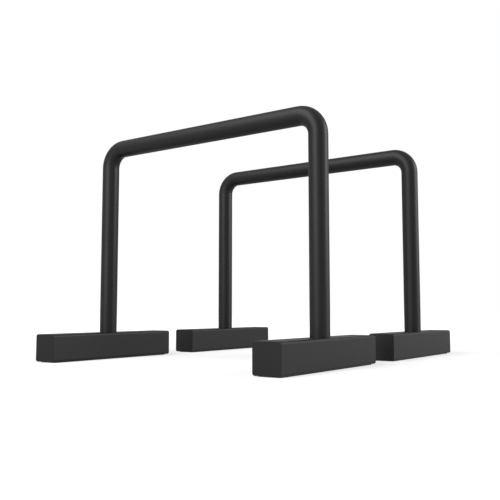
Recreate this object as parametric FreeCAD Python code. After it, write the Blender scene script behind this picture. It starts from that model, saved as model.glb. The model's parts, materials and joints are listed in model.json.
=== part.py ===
import FreeCAD, Part

import math
import os

# A pair of parallette bars for dips, push-ups and handstand work. Each bar is a steel tube bent into an
# upside-down U, whose two legs stand on box-section feet. A bolt inside each foot pulls the leg down on it,
# a pin beside the bolt stops the foot turning, moulded caps close the feet, and rubber pads lie under them.
# The frame has +X along the grips, +Y from the front bar to the rear bar and +Z up, with the origin on the
# floor in the middle of the pair. Every length is in millimetres.

# The pair
bar_spacing = 466.0  # from grip to grip

# Grip tube
tube_diameter = 40.0
tube_wall = 2.5
leg_spacing = 582.0  # between the axes of the two legs
grip_height = 504.0  # from the floor to the axis of the grip
bend_radius = 43.5  # along the axis of the tube

# Feet, in square hollow section
foot_length = 372.0  # over both end caps
foot_width = 60.0
foot_height = 60.0
foot_wall = 2.5
foot_corner_radius = 5.0
foot_inner_radius = 2.5

# Rubber pads under the feet
pad_thickness = 1.5
pad_corner_radius = 6.0
pad_side_inset = 5.0  # from the side of the foot
pad_end_inset = 8.0  # from the end of the foot
pad_joint_gap = 0.6  # between the two pads of a foot, at its middle
pad_stopper_gap = 1.0  # all round the lip of the stopper

# End caps of the feet
cap_head_thickness = 6.0
cap_edge_radius = 1.2
cap_skirt_depth = 24.0
cap_skirt_wall = 2.2
cap_fin_rows = 3
cap_fin_height = 1.3
cap_fin_thickness = 2.4
cap_fin_gap = 0.05  # between a fin and the wall of the foot

# Threaded plug in the end of each leg
plug_length = 32.0
plug_gap = 0.05  # all round, in the bore of the tube
plug_recess = 0.3  # behind the end of the leg, so that the tube carries the clamping
plug_lead_in = 1.5

# Foot bolt, a socket head screw
bolt_diameter = 12.0
bolt_length = 30.0
bolt_head_diameter = 18.0
bolt_head_height = 12.0
bolt_head_bevel = 1.0
bolt_tip_bevel = 1.4
bolt_socket_width = 10.0  # across its flats
bolt_socket_depth = 6.0
bolt_thread_gap = 0.05  # all round, in the plug
bolt_hole_gap = 0.5  # all round, in the foot

# Flat washer and spring washer under the head of the bolt
washer_diameter = 24.0
washer_thickness = 2.5
washer_bore_gap = 0.5
spring_washer_diameter = 21.0
spring_washer_thickness = 2.5
spring_washer_bore_gap = 0.2
spring_washer_slit = 1.6
spring_washer_slant = 25.0  # degrees that the slit leans by

# Locating pin beside the bolt
pin_diameter = 5.0
pin_length = 12.0
pin_offset = 11.5  # from the axis of the leg
pin_gap = 0.05  # all round
pin_bevel = 0.6
pin_end_gap = 0.4  # above the inner face of the foot, and past the pin in the plug

# Access hole under the bolt, and the plug that closes it
access_gap = 1.5  # all round the washer as it goes in
stopper_lip = 3.0
stopper_lip_thickness = 1.0
stopper_lip_bevel = 0.6
stopper_wall = 1.6
stopper_depth = 9.0
stopper_gap = 0.15  # all round, in the access hole
stopper_bead = 0.7
stopper_bead_gap = 0.1  # above the inner face of the foot

# How far a cut runs past the surface that it opens, and how near two places are to count as one
overrun = 5.0
same_place = 1e-6

# The largest share of a wall or corner that a rounded edge takes
round_limit_share = 0.9

# Sizes that follow from those above
tube_bore = tube_diameter - 2 * tube_wall
foot_top = pad_thickness + foot_height
foot_middle = pad_thickness + foot_height / 2
foot_floor = pad_thickness + foot_wall  # inner face of the bottom wall
foot_ceiling = foot_top - foot_wall  # inner face of the top wall
foot_cavity_width = foot_width - 2 * foot_wall
foot_cavity_height = foot_height - 2 * foot_wall
section_length = foot_length - 2 * cap_head_thickness
access_diameter = washer_diameter + 2 * access_gap
pin_bottom = foot_ceiling + pin_end_gap

ORIGIN = FreeCAD.Vector(0, 0, 0)
ALONG_X = FreeCAD.Vector(1, 0, 0)
ALONG_Y = FreeCAD.Vector(0, 1, 0)
ALONG_Z = FreeCAD.Vector(0, 0, 1)


def upright(diameter, bottom, top, y=0):
    """A cylinder that stands on the leg's axis, or y beside it."""
    return Part.makeCylinder(diameter / 2, top - bottom, FreeCAD.Vector(0, y, bottom))


def turned(outline):
    """A solid of revolution about the leg's axis, from (radius, height) corners."""
    corners = [FreeCAD.Vector(radius, 0, height) for radius, height in outline]
    face = Part.Face(Part.makePolygon(corners + corners[:1]))
    return face.revolve(ORIGIN, ALONG_Z, 360)


def corner_arcs(width, height, radius):
    """The start, middle and end of each corner's round, on a rectangle in the XY plane about the origin."""
    corners = []
    for turn in range(4):
        angle = math.radians(90 * turn)
        centre = FreeCAD.Vector(
            math.copysign(width / 2 - radius, math.cos(angle + math.pi / 4)),
            math.copysign(height / 2 - radius, math.sin(angle + math.pi / 4)),
            0,
        )
        corners.append(
            [
                centre + FreeCAD.Vector(math.cos(angle + sweep), math.sin(angle + sweep), 0) * radius
                for sweep in (0, math.pi / 4, math.pi / 2)
            ]
        )
    return corners


def rounded_outline(width, height, radius):
    """A rectangle with round corners."""
    corners = corner_arcs(width, height, radius)
    edges = []
    for corner, following in zip(corners, corners[1:] + corners[:1]):
        edges.append(Part.Arc(*corner).toShape())
        edges.append(Part.LineSegment(corner[-1], following[0]).toShape())
    return Part.Wire(edges)


def bevelled_outline(width, height, bevel):
    """A rectangle with its corners cut off straight."""
    points = [point for corner in corner_arcs(width, height, bevel) for point in (corner[0], corner[-1])]
    return Part.makePolygon(points + points[:1])


def across_foot(outline, y):
    """Stands an XY outline up across the foot, at its mid height and at that place along it."""
    standing = outline.rotated(ORIGIN, ALONG_X, 90)
    return standing.translated(FreeCAD.Vector(0, y, foot_middle))


def along_foot(outline, start, end):
    """A bar of that section along the foot."""
    return Part.Face(across_foot(outline, start)).extrude(ALONG_Y * (end - start))


def rim_at(shape, y):
    """The edges of a shape that lie wholly across the foot at that place along it."""
    return [edge for edge in shape.Edges if max(abs(vertex.Y - y) for vertex in edge.Vertexes) < same_place]


def bent_rod(diameter, bottom):
    """A round rod along the axis of the grip tube, with its ends at that height."""
    shoulder = grip_height - bend_radius
    leg = leg_spacing / 2
    inner = leg - bend_radius
    diagonal = bend_radius * math.sqrt(1 / 2)

    def at(x, z):
        return FreeCAD.Vector(x, 0, z)

    path = Part.Wire(
        [
            Part.LineSegment(at(-leg, bottom), at(-leg, shoulder)).toShape(),
            Part.Arc(
                at(-leg, shoulder), at(-inner - diagonal, shoulder + diagonal), at(-inner, grip_height)
            ).toShape(),
            Part.LineSegment(at(-inner, grip_height), at(inner, grip_height)).toShape(),
            Part.Arc(
                at(inner, grip_height), at(inner + diagonal, shoulder + diagonal), at(leg, shoulder)
            ).toShape(),
            Part.LineSegment(at(leg, shoulder), at(leg, bottom)).toShape(),
        ]
    )
    section = Part.Wire(Part.makeCircle(diameter / 2, at(-leg, bottom), ALONG_Z))
    return path.makePipeShell([section], True, False)


def grip_tube():
    """The bent tube: two legs and the grip between them in one piece."""
    return bent_rod(tube_diameter, foot_top).cut(bent_rod(tube_bore, foot_top - overrun))


def leg_plug():
    """Steel plug in the end of a leg, tapped for the bolt and drilled for the pin."""
    radius = tube_bore / 2 - plug_gap
    bottom = foot_top + plug_recess
    top = bottom + plug_length
    blank = turned(
        [
            (0, bottom),
            (radius, bottom),
            (radius, top - plug_lead_in),
            (radius - plug_lead_in, top),
            (0, top),
        ]
    )
    thread = upright(bolt_diameter + 2 * bolt_thread_gap, bottom - overrun, top + overrun)
    pin_hole = upright(
        pin_diameter + 2 * pin_gap, bottom - overrun, pin_bottom + pin_length + pin_end_gap, pin_offset
    )
    return blank.cut(thread).cut(pin_hole)


def foot():
    """Square hollow section, drilled above for the bolt and the pin and below for the key."""
    half = section_length / 2
    outside = rounded_outline(foot_width, foot_height, foot_corner_radius)
    inside = rounded_outline(foot_cavity_width, foot_cavity_height, foot_inner_radius)
    section = along_foot(outside, -half, half)
    cavity = along_foot(inside, -half - overrun, half + overrun)
    bolt_hole = upright(bolt_diameter + 2 * bolt_hole_gap, foot_middle, foot_top + overrun)
    pin_hole = upright(pin_diameter + 2 * pin_gap, foot_middle, foot_top + overrun, pin_offset)
    access_hole = upright(access_diameter, pad_thickness - overrun, foot_middle)
    return section.cut(cavity).cut(bolt_hole).cut(pin_hole).cut(access_hole)


def cap_section(inset):
    """The section of the cap's insert, that far inside the cavity of the foot."""
    width = foot_cavity_width - 2 * inset
    height = foot_cavity_height - 2 * inset
    return bevelled_outline(width, height, foot_inner_radius)


def end_cap():
    """Moulded cap for the front end of a foot: a rounded head and a finned skirt pushed into the section."""
    outer_face = -foot_length / 2
    seat = outer_face + cap_head_thickness
    skirt_end = seat + cap_skirt_depth
    head = along_foot(rounded_outline(foot_width, foot_height, foot_corner_radius), outer_face, seat)
    rim_radius = min(
        cap_edge_radius, round_limit_share * foot_corner_radius, round_limit_share * cap_head_thickness
    )
    head = head.makeFillet(rim_radius, rim_at(head, outer_face))
    skirt_inset = cap_fin_gap + cap_fin_height
    cap = head.fuse(along_foot(cap_section(skirt_inset), seat, skirt_end))
    pitch = (cap_skirt_depth - cap_fin_thickness) / cap_fin_rows
    for row in range(1, cap_fin_rows + 1):
        lip = across_foot(cap_section(cap_fin_gap), seat + pitch * row)
        root = across_foot(cap_section(skirt_inset), seat + pitch * row + cap_fin_thickness)
        cap = cap.fuse(Part.makeLoft([lip, root], True, True))
    hollow = along_foot(cap_section(skirt_inset + cap_skirt_wall), seat, skirt_end + overrun)
    return cap.cut(hollow).removeSplitter()


def pad():
    """Rubber pad under the front half of a foot: half a long sheet, cut out round the stopper."""
    outline = rounded_outline(
        foot_width - 2 * pad_side_inset, foot_length - 2 * pad_end_inset, pad_corner_radius
    )
    sheet = Part.Face(outline).extrude(ALONG_Z * pad_thickness)
    rear_half = Part.makeBox(
        foot_width,
        foot_length,
        pad_thickness + 2 * overrun,
        FreeCAD.Vector(-foot_width / 2, -pad_joint_gap / 2, -overrun),
    )
    stopper_room = upright(
        access_diameter + 2 * (stopper_lip + pad_stopper_gap), -overrun, pad_thickness + overrun
    )
    return sheet.cut(rear_half).cut(stopper_room)


def foot_bolt():
    """Socket head screw that comes up through the foot into the plug."""
    head_top = foot_ceiling - washer_thickness - spring_washer_thickness
    head_bottom = head_top - bolt_head_height
    tip = head_top + bolt_length
    head_radius = bolt_head_diameter / 2
    shank_radius = bolt_diameter / 2
    blank = turned(
        [
            (0, head_bottom),
            (head_radius - bolt_head_bevel, head_bottom),
            (head_radius, head_bottom + bolt_head_bevel),
            (head_radius, head_top),
            (shank_radius, head_top),
            (shank_radius, tip - bolt_tip_bevel),
            (shank_radius - bolt_tip_bevel, tip),
            (0, tip),
        ]
    )
    corner_radius = bolt_socket_width / 2 / math.cos(math.pi / 6)
    corners = [
        FreeCAD.Vector(
            corner_radius * math.cos(math.pi / 3 * turn),
            corner_radius * math.sin(math.pi / 3 * turn),
            head_bottom - overrun,
        )
        for turn in range(7)
    ]
    socket = Part.Face(Part.makePolygon(corners)).extrude(ALONG_Z * (bolt_socket_depth + overrun))
    return blank.cut(socket)


def flat_washer():
    """Washer against the inside of the foot's top wall."""
    bottom = foot_ceiling - washer_thickness
    bore = upright(bolt_diameter + 2 * washer_bore_gap, bottom - overrun, foot_ceiling + overrun)
    return upright(washer_diameter, bottom, foot_ceiling).cut(bore)


def spring_washer():
    """Split washer between the flat washer and the bolt's head, drawn up flat."""
    top = foot_ceiling - washer_thickness
    bottom = top - spring_washer_thickness
    ring = upright(spring_washer_diameter, bottom, top).cut(
        upright(bolt_diameter + 2 * spring_washer_bore_gap, bottom - overrun, top + overrun)
    )
    slit = Part.makeBox(
        spring_washer_diameter,
        spring_washer_slit,
        spring_washer_thickness + 2 * overrun,
        FreeCAD.Vector(0, -spring_washer_slit / 2, bottom - overrun),
    )
    middle = FreeCAD.Vector(0, 0, (bottom + top) / 2)
    return ring.cut(slit.rotated(middle, ALONG_X, spring_washer_slant))


def locating_pin():
    """Dowel pin that stands in the plug and reaches into the foot's top wall."""
    radius = pin_diameter / 2
    top = pin_bottom + pin_length
    pin = turned(
        [
            (0, pin_bottom),
            (radius - pin_bevel, pin_bottom),
            (radius, pin_bottom + pin_bevel),
            (radius, top - pin_bevel),
            (radius - pin_bevel, top),
            (0, top),
        ]
    )
    return pin.translated(FreeCAD.Vector(0, pin_offset, 0))


def stopper():
    """Moulded plug that snaps into the access hole: a thin lip outside, a bead inside."""
    skirt = access_diameter / 2 - stopper_gap
    lip = access_diameter / 2 + stopper_lip
    lip_bottom = pad_thickness - stopper_lip_thickness
    bore = skirt - stopper_bead - stopper_wall
    bead_bottom = foot_floor + stopper_bead_gap
    top = pad_thickness + stopper_depth
    return turned(
        [
            (0, lip_bottom),
            (lip - stopper_lip_bevel, lip_bottom),
            (lip, lip_bottom + stopper_lip_bevel),
            (lip, pad_thickness),
            (skirt, pad_thickness),
            (skirt, bead_bottom),
            (skirt + stopper_bead, bead_bottom + stopper_bead),
            (skirt - stopper_bead, top),
            (bore, top),
            (bore, pad_thickness),
            (0, pad_thickness),
        ]
    )


def save(name, *solids):
    """Writes one node: a single solid, or a group of equal ones."""
    shape = solids[0] if len(solids) == 1 else Part.makeCompound(solids)
    shape.exportStep(os.path.join("parts", name + ".step"))


def save_bar(bar, y):
    """One bar of the pair, with its grip at that place across the pair."""
    sides = {"left": -leg_spacing / 2, "right": leg_spacing / 2}

    def on_foot(shape, side):
        return shape.translated(FreeCAD.Vector(sides[side], y, 0))

    def at_end(shape, end):
        return shape if end == "front" else shape.rotated(ORIGIN, ALONG_Z, 180)

    save(f"{bar}_grip_tube", grip_tube().translated(ALONG_Y * y))
    for side in sides:
        save(f"{bar}_{side}_leg_plug", on_foot(leg_plug(), side))
        save(f"{bar}_{side}_foot", on_foot(foot(), side))
        for end in ("front", "rear"):
            save(f"{bar}_{side}_foot_{end}_cap", on_foot(at_end(end_cap(), end), side))
            save(f"{bar}_{side}_foot_{end}_pad", on_foot(at_end(pad(), end), side))
    hidden = {
        "foot_bolts": foot_bolt(),
        "flat_washers": flat_washer(),
        "spring_washers": spring_washer(),
        "locating_pins": locating_pin(),
        "access_stoppers": stopper(),
    }
    for name, shape in hidden.items():
        save(f"{bar}_{name}", *[on_foot(shape, side) for side in sides])


os.makedirs("parts", exist_ok=True)
save_bar("front", -bar_spacing / 2)
save_bar("rear", bar_spacing / 2)
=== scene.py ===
import json
import math

import bmesh
import bpy
from mathutils import Matrix, Vector


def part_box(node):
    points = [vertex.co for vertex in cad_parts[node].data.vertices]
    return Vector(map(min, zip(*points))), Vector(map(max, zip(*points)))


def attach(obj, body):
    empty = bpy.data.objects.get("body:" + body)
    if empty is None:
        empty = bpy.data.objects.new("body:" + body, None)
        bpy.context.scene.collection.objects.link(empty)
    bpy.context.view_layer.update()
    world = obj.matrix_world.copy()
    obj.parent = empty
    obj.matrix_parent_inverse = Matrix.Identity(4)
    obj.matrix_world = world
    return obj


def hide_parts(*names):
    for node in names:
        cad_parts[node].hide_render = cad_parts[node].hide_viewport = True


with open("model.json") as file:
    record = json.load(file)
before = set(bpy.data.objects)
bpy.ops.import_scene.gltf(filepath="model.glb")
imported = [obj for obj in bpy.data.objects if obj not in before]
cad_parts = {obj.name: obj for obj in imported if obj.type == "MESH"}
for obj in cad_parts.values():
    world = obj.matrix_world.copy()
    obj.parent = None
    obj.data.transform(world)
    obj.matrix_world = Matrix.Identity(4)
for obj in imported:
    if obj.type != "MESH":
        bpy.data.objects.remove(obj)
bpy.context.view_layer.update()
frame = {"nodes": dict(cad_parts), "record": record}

# A pair of parallette bars in satin black, on a white studio floor. Every length is in metres, in the frame
# of the construction: +X along the grips, +Y from the front bar to the rear bar, +Z up from the floor.

SAME_PLACE = 1e-6

# Where the picture is taken from: a low place in front of the right-hand feet, looking slightly upwards
CAMERA_PLACE = (0.9484, -1.4024, 0.1138)
CAMERA_TURN = 35.106  # degrees to the left of +Y
CAMERA_LEVEL = 90.0  # degrees from straight down to the horizon
CAMERA_TILT = 5.009  # degrees above the horizon
CAMERA_LENS = 49.589  # millimetres on a sensor 36 mm wide
SENSOR_WIDTH = 36.0

# Rubber pads under the feet
PAD_CORNER = 0.006
PAD_CORNER_STEPS = 6
PAD_RIM_ROUND = 0.0003
PAD_RIM_STEPS = 2
PAD_BORDER = 0.003
NOTCH_CLEARANCE = 0.001
NOTCH_STEPS = 64
GROOVE_PITCH = 0.005
GROOVE_WIDTH = 0.002
GROOVE_DEPTH = 0.0006
PAD_SMOOTH_ANGLE = math.radians(20)

# Foot bolts
BOLT_HEAD_HEIGHT = 0.012
BOLT_HEAD_SIDES = 48
BOLT_HEAD_BEVEL = 0.001
BOLT_HEAD_BEVEL_STEPS = 3
KNURL_MARGIN = 0.0003
KNURL_DEPTH = 0.00025
SOCKET_SIDES = 6
SOCKET_WIDTH = 0.010  # across its flats
SOCKET_DEPTH = 0.006
THREAD_RADIUS = 0.006
THREAD_CORE_RADIUS = 0.0051
THREAD_PITCH = 0.00175
THREAD_STEPS = 32  # in one turn
THREAD_CREST_SHARE = 0.15  # of the pitch
THREAD_FOOT_SHARE = 0.8  # of the pitch
THREAD_SECTION_CORNERS = 4
THREAD_ROOT_SINK = 0.0003
THREAD_START = math.radians(2.5)  # keeps the ridge's corners off the edges of the core
BOLT_TIP_BEVEL = 0.0014
BOLT_SMOOTH_ANGLE = math.radians(30)

# Grain of the finishes: its usual size, the size of the slow drift of tone, and how fine both are
GRAIN_SIZE = 0.0006
GRAIN_DETAIL = 2.0
DRIFT_SIZE = 0.05
DRIFT_DETAIL = 3.0
# Most values of a noise lie between these
NOISE_LOW = 0.3
NOISE_HIGH = 0.7
# Black of tubes, feet and caps: a dark body under a thin satin coat
SATIN_BLACK = {
    "shades": (0.002, 0.0024),
    "roughness": (0.84, 0.92),
    "height": 0.000005,
    "specular": 0.015,
    "coat": (0.37, 0.48),
    "coat_roughness": 0.45,
}

# Studio
FLOOR_HALF_WIDTH = 40.0
FLOOR_DROP = 0.0001
FLOOR_ALBEDO = 0.4
FLOOR_GLOW_NEAR = 0.54
FLOOR_GLOW_FAR = 1.0
FLOOR_GLOW_REACH = 2.5
ROOM_LIGHT = 0.1
AIM = Vector((0.0, 0.0, 0.25))
# Softboxes: place, direction of the long side, width, length, brightness where white paper is 1
SOFTBOXES = {
    "front_softbox": ((-0.74, -3.60, 2.85), (-0.29, 0.60, 0.75), 2.97, 6.30, 5.9),
    "side_softbox": ((6.08, 4.40, 3.03), (-0.46, 0.07, 0.89), 3.04, 4.48, 12.8),
}


def deselect():
    """Leaves nothing selected, so that the next operator acts on the new piece alone."""
    bpy.ops.object.select_all(action="DESELECT")


def choose(piece, kind, wanted):
    """In edit mode, selects the faces or edges that fit."""
    bpy.ops.mesh.select_mode(type={"faces": "FACE", "edges": "EDGE"}[kind])
    bpy.ops.mesh.select_all(action="DESELECT")
    mesh = bmesh.from_edit_mesh(piece.data)
    for element in getattr(mesh, kind):
        element.select_set(wanted(element))
    bmesh.update_edit_mesh(piece.data)


def add_block(name, low, high):
    """A block between two corners, with its place in its mesh."""
    deselect()
    bpy.ops.mesh.primitive_cube_add(size=1, location=(low + high) / 2, scale=high - low)
    block = bpy.context.object
    block.name = name
    block.data.name = name
    bpy.ops.object.transform_apply(location=True, rotation=True, scale=True)
    return block


def upright(edge):
    """Whether an edge runs up and down."""
    return abs(edge.verts[0].co.z - edge.verts[1].co.z) > SAME_PLACE


def level(element, height):
    """Whether an edge or face lies flat at that height."""
    return all(abs(vert.co.z - height) < SAME_PLACE for vert in element.verts)


def combine(piece, tool, operation):
    """Cuts a tool out of a piece, or unites the two, and removes the tool."""
    deselect()
    bpy.context.view_layer.objects.active = piece
    piece.select_set(True)
    change = piece.modifiers.new("change", "BOOLEAN")
    change.operation = operation
    change.solver = "EXACT"
    change.object = tool
    bpy.ops.object.modifier_apply(modifier=change.name)
    bpy.data.objects.remove(tool)


def add_prism(sides, radius, height, centre):
    """An upright prism, round where it has many sides."""
    deselect()
    bpy.ops.mesh.primitive_cylinder_add(vertices=sides, radius=radius, depth=height, location=centre)
    bpy.ops.object.transform_apply(location=True, rotation=True, scale=True)
    return bpy.context.object


def grooved_pad(name, low, high, centre, notch):
    """Half of a foot's rubber sheet: round outer corners, a notch round the stopper, an eased lower rim and
    grooves across its underside."""

    def at_outer_end(edge):
        return upright(edge) and all(abs(vert.co.y - low.y) < SAME_PLACE for vert in edge.verts)

    pad = add_block(name, low, high)
    bpy.ops.object.mode_set(mode="EDIT")
    choose(pad, "edges", at_outer_end)
    bpy.ops.mesh.bevel(offset=PAD_CORNER, segments=PAD_CORNER_STEPS, affect="EDGES")
    bpy.ops.object.mode_set(mode="OBJECT")
    combine(pad, add_prism(NOTCH_STEPS, notch, notch, centre), "DIFFERENCE")
    bpy.ops.object.mode_set(mode="EDIT")
    choose(pad, "edges", lambda edge: level(edge, low.z))
    bpy.ops.mesh.bevel(offset=PAD_RIM_ROUND, segments=PAD_RIM_STEPS, affect="EDGES")
    margin = PAD_RIM_ROUND + PAD_BORDER
    for border in (low.x + margin, high.x - margin):
        choose(pad, "faces", lambda face: level(face, low.z))
        bpy.ops.mesh.bisect(plane_co=(border, 0, low.z), plane_no=(1, 0, 0))

    first = low.y + PAD_CORNER + PAD_RIM_ROUND
    last = centre.y - notch - PAD_RIM_ROUND - 2 * PAD_BORDER
    count = int((last - first) / GROOVE_PITCH)
    centres = [first + GROOVE_PITCH * (index + 1 / 2) for index in range(count)]

    def in_tread(face):
        return level(face, low.z) and abs(face.calc_center_bounds().x - centre.x) < PAD_BORDER

    for groove in centres:
        for side in (-1, 1):
            choose(pad, "faces", in_tread)
            bpy.ops.mesh.bisect(plane_co=(0, groove + side * GROOVE_WIDTH / 2, low.z), plane_no=(0, 1, 0))

    def in_groove(face):
        place = face.calc_center_bounds().y
        return in_tread(face) and any(abs(place - groove) < GROOVE_WIDTH / 4 for groove in centres)

    choose(pad, "faces", in_groove)
    bpy.ops.mesh.extrude_region_move(TRANSFORM_OT_translate={"value": (0, 0, GROOVE_DEPTH)})
    bpy.ops.object.mode_set(mode="OBJECT")
    bpy.ops.object.shade_smooth_by_angle(angle=PAD_SMOOTH_ANGLE)
    return pad


def copied(piece, name, change):
    """A copy of a piece with its own mesh, moved within that mesh."""
    twin = piece.copy()
    twin.data = piece.data.copy()
    twin.name = name
    twin.data.name = name
    twin.data.transform(change)
    bpy.context.scene.collection.objects.link(twin)
    return twin


def make_pads():
    """One pad for each end of each foot, modelled once and copied, turned round for the rear ends."""
    low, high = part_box("front_access_stoppers")
    notch = (high.y - low.y) / 2 + NOTCH_CLEARANCE
    pads = []
    model = None
    for bar in ("front", "rear"):
        for side in ("left", "right"):
            foot_low, foot_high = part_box(f"{bar}_{side}_foot")
            centre = (foot_low + foot_high) / 2
            for end, turn in (("front", 0), ("rear", math.pi)):
                node = f"{bar}_{side}_foot_{end}_pad"
                name = f"{bar}_{side}_foot_{end}_grooved_pad"
                if model is None:
                    low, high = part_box(node)
                    start = Vector((centre.x, centre.y, low.z))
                    model = grooved_pad(name, low, high, start, notch)
                    pad = model
                else:
                    here = Vector((centre.x, centre.y, start.z))
                    turned = Matrix.Rotation(turn, 4, "Z")
                    pad = copied(model, name, Matrix.Translation(here) @ turned @ Matrix.Translation(-start))
                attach(pad, f"{bar}_bar")
                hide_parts(node)
                pads.append(pad)
    return pads


def thread_ridge(bottom, top):
    """The ridge of a screw thread round the Z axis: its section, drawn upright and swept along a helix."""
    middle = (THREAD_CORE_RADIUS + THREAD_RADIUS) / 2
    foot = THREAD_CORE_RADIUS - THREAD_ROOT_SINK
    deselect()
    bpy.ops.mesh.primitive_plane_add(size=2, location=(middle, 0, bottom), rotation=(math.pi / 2, 0, 0))
    ridge = bpy.context.object
    bpy.ops.object.transform_apply(location=True, rotation=True, scale=True)
    for vert in ridge.data.vertices:
        outer = vert.co.x > middle
        half = THREAD_PITCH / 2 * (THREAD_CREST_SHARE if outer else THREAD_FOOT_SHARE)
        vert.co.x = THREAD_RADIUS if outer else foot
        vert.co.z = bottom + math.copysign(half, vert.co.z - bottom)
    bpy.ops.object.mode_set(mode="EDIT")
    bpy.ops.mesh.select_all(action="SELECT")
    bpy.ops.mesh.delete(type="ONLY_FACE")
    bpy.ops.object.mode_set(mode="OBJECT")
    helix = ridge.modifiers.new("helix", "SCREW")
    helix.screw_offset = THREAD_PITCH
    helix.iterations = int((top - bottom) / THREAD_PITCH)
    helix.steps = THREAD_STEPS
    helix.render_steps = THREAD_STEPS
    bpy.ops.object.modifier_apply(modifier=helix.name)
    bpy.ops.object.mode_set(mode="EDIT")
    bpy.ops.mesh.select_all(action="SELECT")
    bpy.ops.mesh.fill_holes(sides=THREAD_SECTION_CORNERS)
    bpy.ops.mesh.normals_make_consistent(inside=False)
    bpy.ops.object.mode_set(mode="OBJECT")
    ridge.data.transform(Matrix.Rotation(THREAD_START, 4, "Z"))
    return ridge


def threaded_bolt(name, head_radius, length):
    """A socket head screw on the Z axis, with its head down: a fluted head, a hexagon socket and a thread."""
    bolt = add_prism(BOLT_HEAD_SIDES, head_radius, BOLT_HEAD_HEIGHT, (0, 0, BOLT_HEAD_HEIGHT / 2))
    bolt.name = name
    bolt.data.name = name
    bpy.ops.object.mode_set(mode="EDIT")
    choose(bolt, "edges", lambda edge: level(edge, 0))
    bpy.ops.mesh.bevel(offset=BOLT_HEAD_BEVEL, segments=BOLT_HEAD_BEVEL_STEPS, affect="EDGES")
    choose(bolt, "faces", lambda face: abs(face.normal.z) < SAME_PLACE)
    bpy.ops.mesh.inset(use_individual=True, thickness=KNURL_MARGIN, depth=-KNURL_DEPTH)
    choose(bolt, "faces", lambda face: level(face, BOLT_HEAD_HEIGHT))
    bpy.ops.mesh.inset(thickness=head_radius - THREAD_CORE_RADIUS)
    bpy.ops.mesh.extrude_region_move(TRANSFORM_OT_translate={"value": (0, 0, length - BOLT_HEAD_HEIGHT)})
    choose(bolt, "edges", lambda edge: level(edge, length))
    bpy.ops.mesh.bevel(offset=BOLT_TIP_BEVEL, segments=1, affect="EDGES")
    bpy.ops.object.mode_set(mode="OBJECT")
    corner = SOCKET_WIDTH / 2 / math.cos(math.pi / SOCKET_SIDES)
    combine(bolt, add_prism(SOCKET_SIDES, corner, 2 * SOCKET_DEPTH, (0, 0, 0)), "DIFFERENCE")
    ridge = thread_ridge(BOLT_HEAD_HEIGHT + THREAD_PITCH, length - BOLT_TIP_BEVEL)
    combine(bolt, ridge, "UNION")
    bpy.ops.object.shade_smooth_by_angle(angle=BOLT_SMOOTH_ANGLE)
    return bolt


def make_bolts():
    """One bolt for each foot, modelled once and copied. Both bolts of a bar stand for its one node."""
    bolts = []
    model = None
    for bar in ("front", "rear"):
        low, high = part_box(f"{bar}_foot_bolts")
        for side in ("left", "right"):
            plug_low, plug_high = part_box(f"{bar}_{side}_leg_plug")
            place = ((plug_low.x + plug_high.x) / 2, (plug_low.y + plug_high.y) / 2, low.z)
            name = f"{bar}_{side}_threaded_bolt"
            if model is None:
                model = threaded_bolt("bolt_model", (high.y - low.y) / 2, high.z - low.z)
            bolt = copied(model, name, Matrix.Translation(place))
            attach(bolt, f"{bar}_bar")
            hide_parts(f"{bar}_foot_bolts")
            bolts.append(bolt)
    bpy.data.objects.remove(model)
    return bolts


def node_group(name, inputs, outputs):
    """An empty shader group with float sockets, and its two end nodes."""
    group = bpy.data.node_groups.new(name, "ShaderNodeTree")
    for label, value in inputs.items():
        socket = group.interface.new_socket(label, in_out="INPUT", socket_type="NodeSocketFloat")
        socket.default_value = value
    for label in outputs:
        group.interface.new_socket(label, in_out="OUTPUT", socket_type="NodeSocketFloat")
    return group, group.nodes.new("NodeGroupInput"), group.nodes.new("NodeGroupOutput")


def make_grain():
    """Fine grain of a sprayed or moulded surface, with a slow drift of tone over the piece."""
    sizes = {"Grain Size": GRAIN_SIZE, "Drift Size": DRIFT_SIZE}
    group, given, result = node_group("surface_grain", sizes, ("Height", "Drift"))
    place = group.nodes.new("ShaderNodeTexCoord")
    layers = {"Grain Size": ("Height", GRAIN_DETAIL), "Drift Size": ("Drift", DRIFT_DETAIL)}
    for size, (output, detail) in layers.items():
        per_metre = group.nodes.new("ShaderNodeMath")
        per_metre.operation = "DIVIDE"
        per_metre.inputs[0].default_value = 1.0
        group.links.new(given.outputs[size], per_metre.inputs[1])
        noise = group.nodes.new("ShaderNodeTexNoise")
        noise.inputs["Detail"].default_value = detail
        group.links.new(place.outputs["Object"], noise.inputs["Vector"])
        group.links.new(per_metre.outputs[0], noise.inputs["Scale"])
        group.links.new(noise.outputs["Fac"], result.inputs[output])
    return group


GRAIN = make_grain()


def grey(value):
    """A grey as a shader's colour."""
    return (value, value, value, 1.0)


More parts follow.
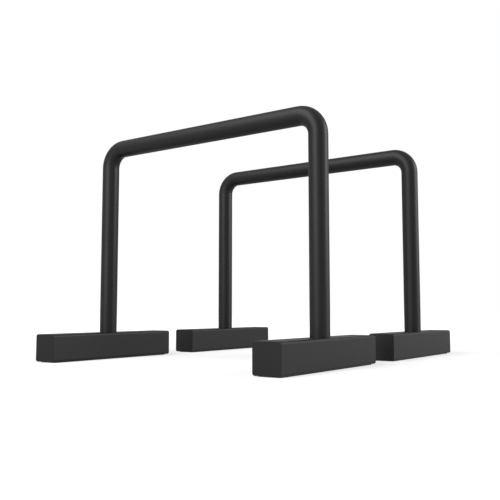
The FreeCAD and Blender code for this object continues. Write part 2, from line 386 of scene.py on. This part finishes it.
def coated(
    name, shades, roughness, grain, height, drift, specular, metallic=0.0, coat=None, coat_roughness=0.0
):
    """A grained surface. Its grey and its roughness drift between two values, its grain is raised, and its
    coat, where it has one, is thinner in the grain's pits than on its crests."""
    material = bpy.data.materials.new(name)
    material.use_nodes = True
    nodes = material.node_tree.nodes
    links = material.node_tree.links
    shader = nodes["Principled BSDF"]
    shader.inputs["Specular IOR Level"].default_value = specular
    shader.inputs["Metallic"].default_value = metallic
    surface = nodes.new("ShaderNodeGroup")
    surface.node_tree = GRAIN
    surface.inputs["Grain Size"].default_value = grain
    surface.inputs["Drift Size"].default_value = drift
    colour = nodes.new("ShaderNodeMix")
    colour.data_type = "RGBA"
    colour.inputs["A"].default_value = grey(shades[0])
    colour.inputs["B"].default_value = grey(shades[1])
    links.new(surface.outputs["Drift"], colour.inputs["Factor"])
    links.new(colour.outputs["Result"], shader.inputs["Base Color"])

    def spread(output, values, socket):
        """Drives a socket of the shader between two values."""
        between = nodes.new("ShaderNodeMapRange")
        between.inputs["From Min"].default_value = NOISE_LOW
        between.inputs["From Max"].default_value = NOISE_HIGH
        between.inputs["To Min"].default_value = values[0]
        between.inputs["To Max"].default_value = values[1]
        links.new(surface.outputs[output], between.inputs["Value"])
        links.new(between.outputs["Result"], shader.inputs[socket])

    spread("Drift", roughness, "Roughness")
    if coat is not None:
        spread("Height", coat, "Coat Weight")
        shader.inputs["Coat Roughness"].default_value = coat_roughness
    bump = nodes.new("ShaderNodeBump")
    bump.inputs["Strength"].default_value = 1.0
    bump.inputs["Distance"].default_value = height
    links.new(surface.outputs["Height"], bump.inputs["Height"])
    links.new(bump.outputs["Normal"], shader.inputs["Normal"])
    return material


FINISHES = {
    "black_powder_coat": coated("satin_black_powder_coat", grain=0.0007, drift=0.06, **SATIN_BLACK),
    "black_moulded_plastic": coated("black_moulded_plastic", grain=0.0004, drift=0.03, **SATIN_BLACK),
    "black_rubber": coated(
        "black_rubber",
        shades=(0.012, 0.018),
        roughness=(0.75, 0.9),
        grain=0.0003,
        height=0.00002,
        drift=0.01,
        specular=0.3,
    ),
    "zinc_plated_steel": coated(
        "zinc_plated_steel",
        shades=(0.52, 0.6),
        roughness=(0.28, 0.38),
        grain=0.0002,
        height=0.000005,
        drift=0.004,
        specular=0.5,
        metallic=1.0,
    ),
}


def dress():
    """Gives each construction piece its finish, in its own slots."""
    for row in frame["record"]["subparts"]:
        for slot in frame["nodes"][row["node"]].material_slots:
            slot.material = FINISHES[row["material_slot"]]


def shown_background(nodes, links):
    """1 for what the camera sees, also in a reflection or through glass."""
    path = nodes.new("ShaderNodeLightPath")
    seen = nodes.new("ShaderNodeMath")
    seen.operation = "MAXIMUM"
    links.new(path.outputs["Is Camera Ray"], seen.inputs[0])
    links.new(path.outputs["Is Glossy Ray"], seen.inputs[1])
    either = nodes.new("ShaderNodeMath")
    either.operation = "MAXIMUM"
    links.new(seen.outputs[0], either.inputs[0])
    links.new(path.outputs["Is Transmission Ray"], either.inputs[1])
    return either.outputs[0]


def make_floor():
    """A pale floor that keeps the shadow of the bars, otherwise looks white, and is clear from below."""
    deselect()
    bpy.ops.mesh.primitive_plane_add(size=2 * FLOOR_HALF_WIDTH, location=(0, 0, -FLOOR_DROP))
    floor = bpy.context.object
    floor.name = "studio_floor"
    material = bpy.data.materials.new("white_floor")
    material.use_nodes = True
    nodes = material.node_tree.nodes
    links = material.node_tree.links
    shader = nodes["Principled BSDF"]
    shader.inputs["Base Color"].default_value = grey(FLOOR_ALBEDO)
    shader.inputs["Roughness"].default_value = 1.0
    shader.inputs["Specular IOR Level"].default_value = 0.0
    shader.inputs["Emission Color"].default_value = grey(1.0)
    place = nodes.new("ShaderNodeTexCoord")
    away = nodes.new("ShaderNodeVectorMath")
    away.operation = "LENGTH"
    links.new(place.outputs["Object"], away.inputs[0])
    spread = nodes.new("ShaderNodeMapRange")
    spread.inputs["From Max"].default_value = FLOOR_GLOW_REACH
    spread.inputs["To Min"].default_value = FLOOR_GLOW_NEAR
    spread.inputs["To Max"].default_value = FLOOR_GLOW_FAR
    links.new(away.outputs["Value"], spread.inputs["Value"])
    glow = nodes.new("ShaderNodeMath")
    glow.operation = "MULTIPLY"
    links.new(shown_background(nodes, links), glow.inputs[0])
    links.new(spread.outputs["Result"], glow.inputs[1])
    links.new(glow.outputs[0], shader.inputs["Emission Strength"])
    clear = nodes.new("ShaderNodeBsdfTransparent")
    sides = nodes.new("ShaderNodeMixShader")
    links.new(nodes.new("ShaderNodeNewGeometry").outputs["Backfacing"], sides.inputs["Fac"])
    links.new(shader.outputs["BSDF"], sides.inputs[1])
    links.new(clear.outputs["BSDF"], sides.inputs[2])
    links.new(sides.outputs["Shader"], nodes["Material Output"].inputs["Surface"])
    floor.data.materials.append(material)


def make_room():
    """Even light from all round, white where it is seen."""
    world = bpy.data.worlds.new("white_room")
    world.use_nodes = True
    nodes = world.node_tree.nodes
    links = world.node_tree.links
    background = nodes["Background"]
    background.inputs["Color"].default_value = grey(1.0)
    strength = nodes.new("ShaderNodeMapRange")
    strength.inputs["To Min"].default_value = ROOM_LIGHT
    strength.inputs["To Max"].default_value = 1.0
    links.new(shown_background(nodes, links), strength.inputs["Value"])
    links.new(strength.outputs["Result"], background.inputs["Strength"])
    bpy.context.scene.world = world


def make_softboxes():
    """Two large soft lamps, one in front to the left and one to the right, each facing the bars."""
    for name, (place, along, width, length, brightness) in SOFTBOXES.items():
        lamp = bpy.data.lights.new(name, "AREA")
        lamp.shape = "RECTANGLE"
        lamp.size = width
        lamp.size_y = length
        lamp.energy = brightness * math.pi * width * length
        softbox = bpy.data.objects.new(name, lamp)
        back = (Vector(place) - AIM).normalized()
        up = Vector(along)
        up = (up - up.dot(back) * back).normalized()
        turn = Matrix((up.cross(back), up, back)).transposed().to_4x4()
        softbox.matrix_world = Matrix.Translation(place) @ turn
        softbox.visible_camera = False
        bpy.context.scene.collection.objects.link(softbox)


def make_camera():
    """The camera at the picture's viewing angle."""
    camera = bpy.data.objects.new("camera", bpy.data.cameras.new("camera"))
    camera.data.sensor_width = SENSOR_WIDTH
    camera.data.lens = CAMERA_LENS
    camera.location = CAMERA_PLACE
    camera.rotation_euler = (math.radians(CAMERA_LEVEL + CAMERA_TILT), 0, math.radians(CAMERA_TURN))
    bpy.context.scene.collection.objects.link(camera)
    bpy.context.scene.camera = camera


dress()
for pieces, finish in ((make_pads(), "black_rubber"), (make_bolts(), "zinc_plated_steel")):
    for piece in pieces:
        piece.data.materials.clear()
        piece.data.materials.append(FINISHES[finish])
make_floor()
make_room()
make_softboxes()
make_camera()
bpy.context.scene.view_settings.view_transform = "Standard"
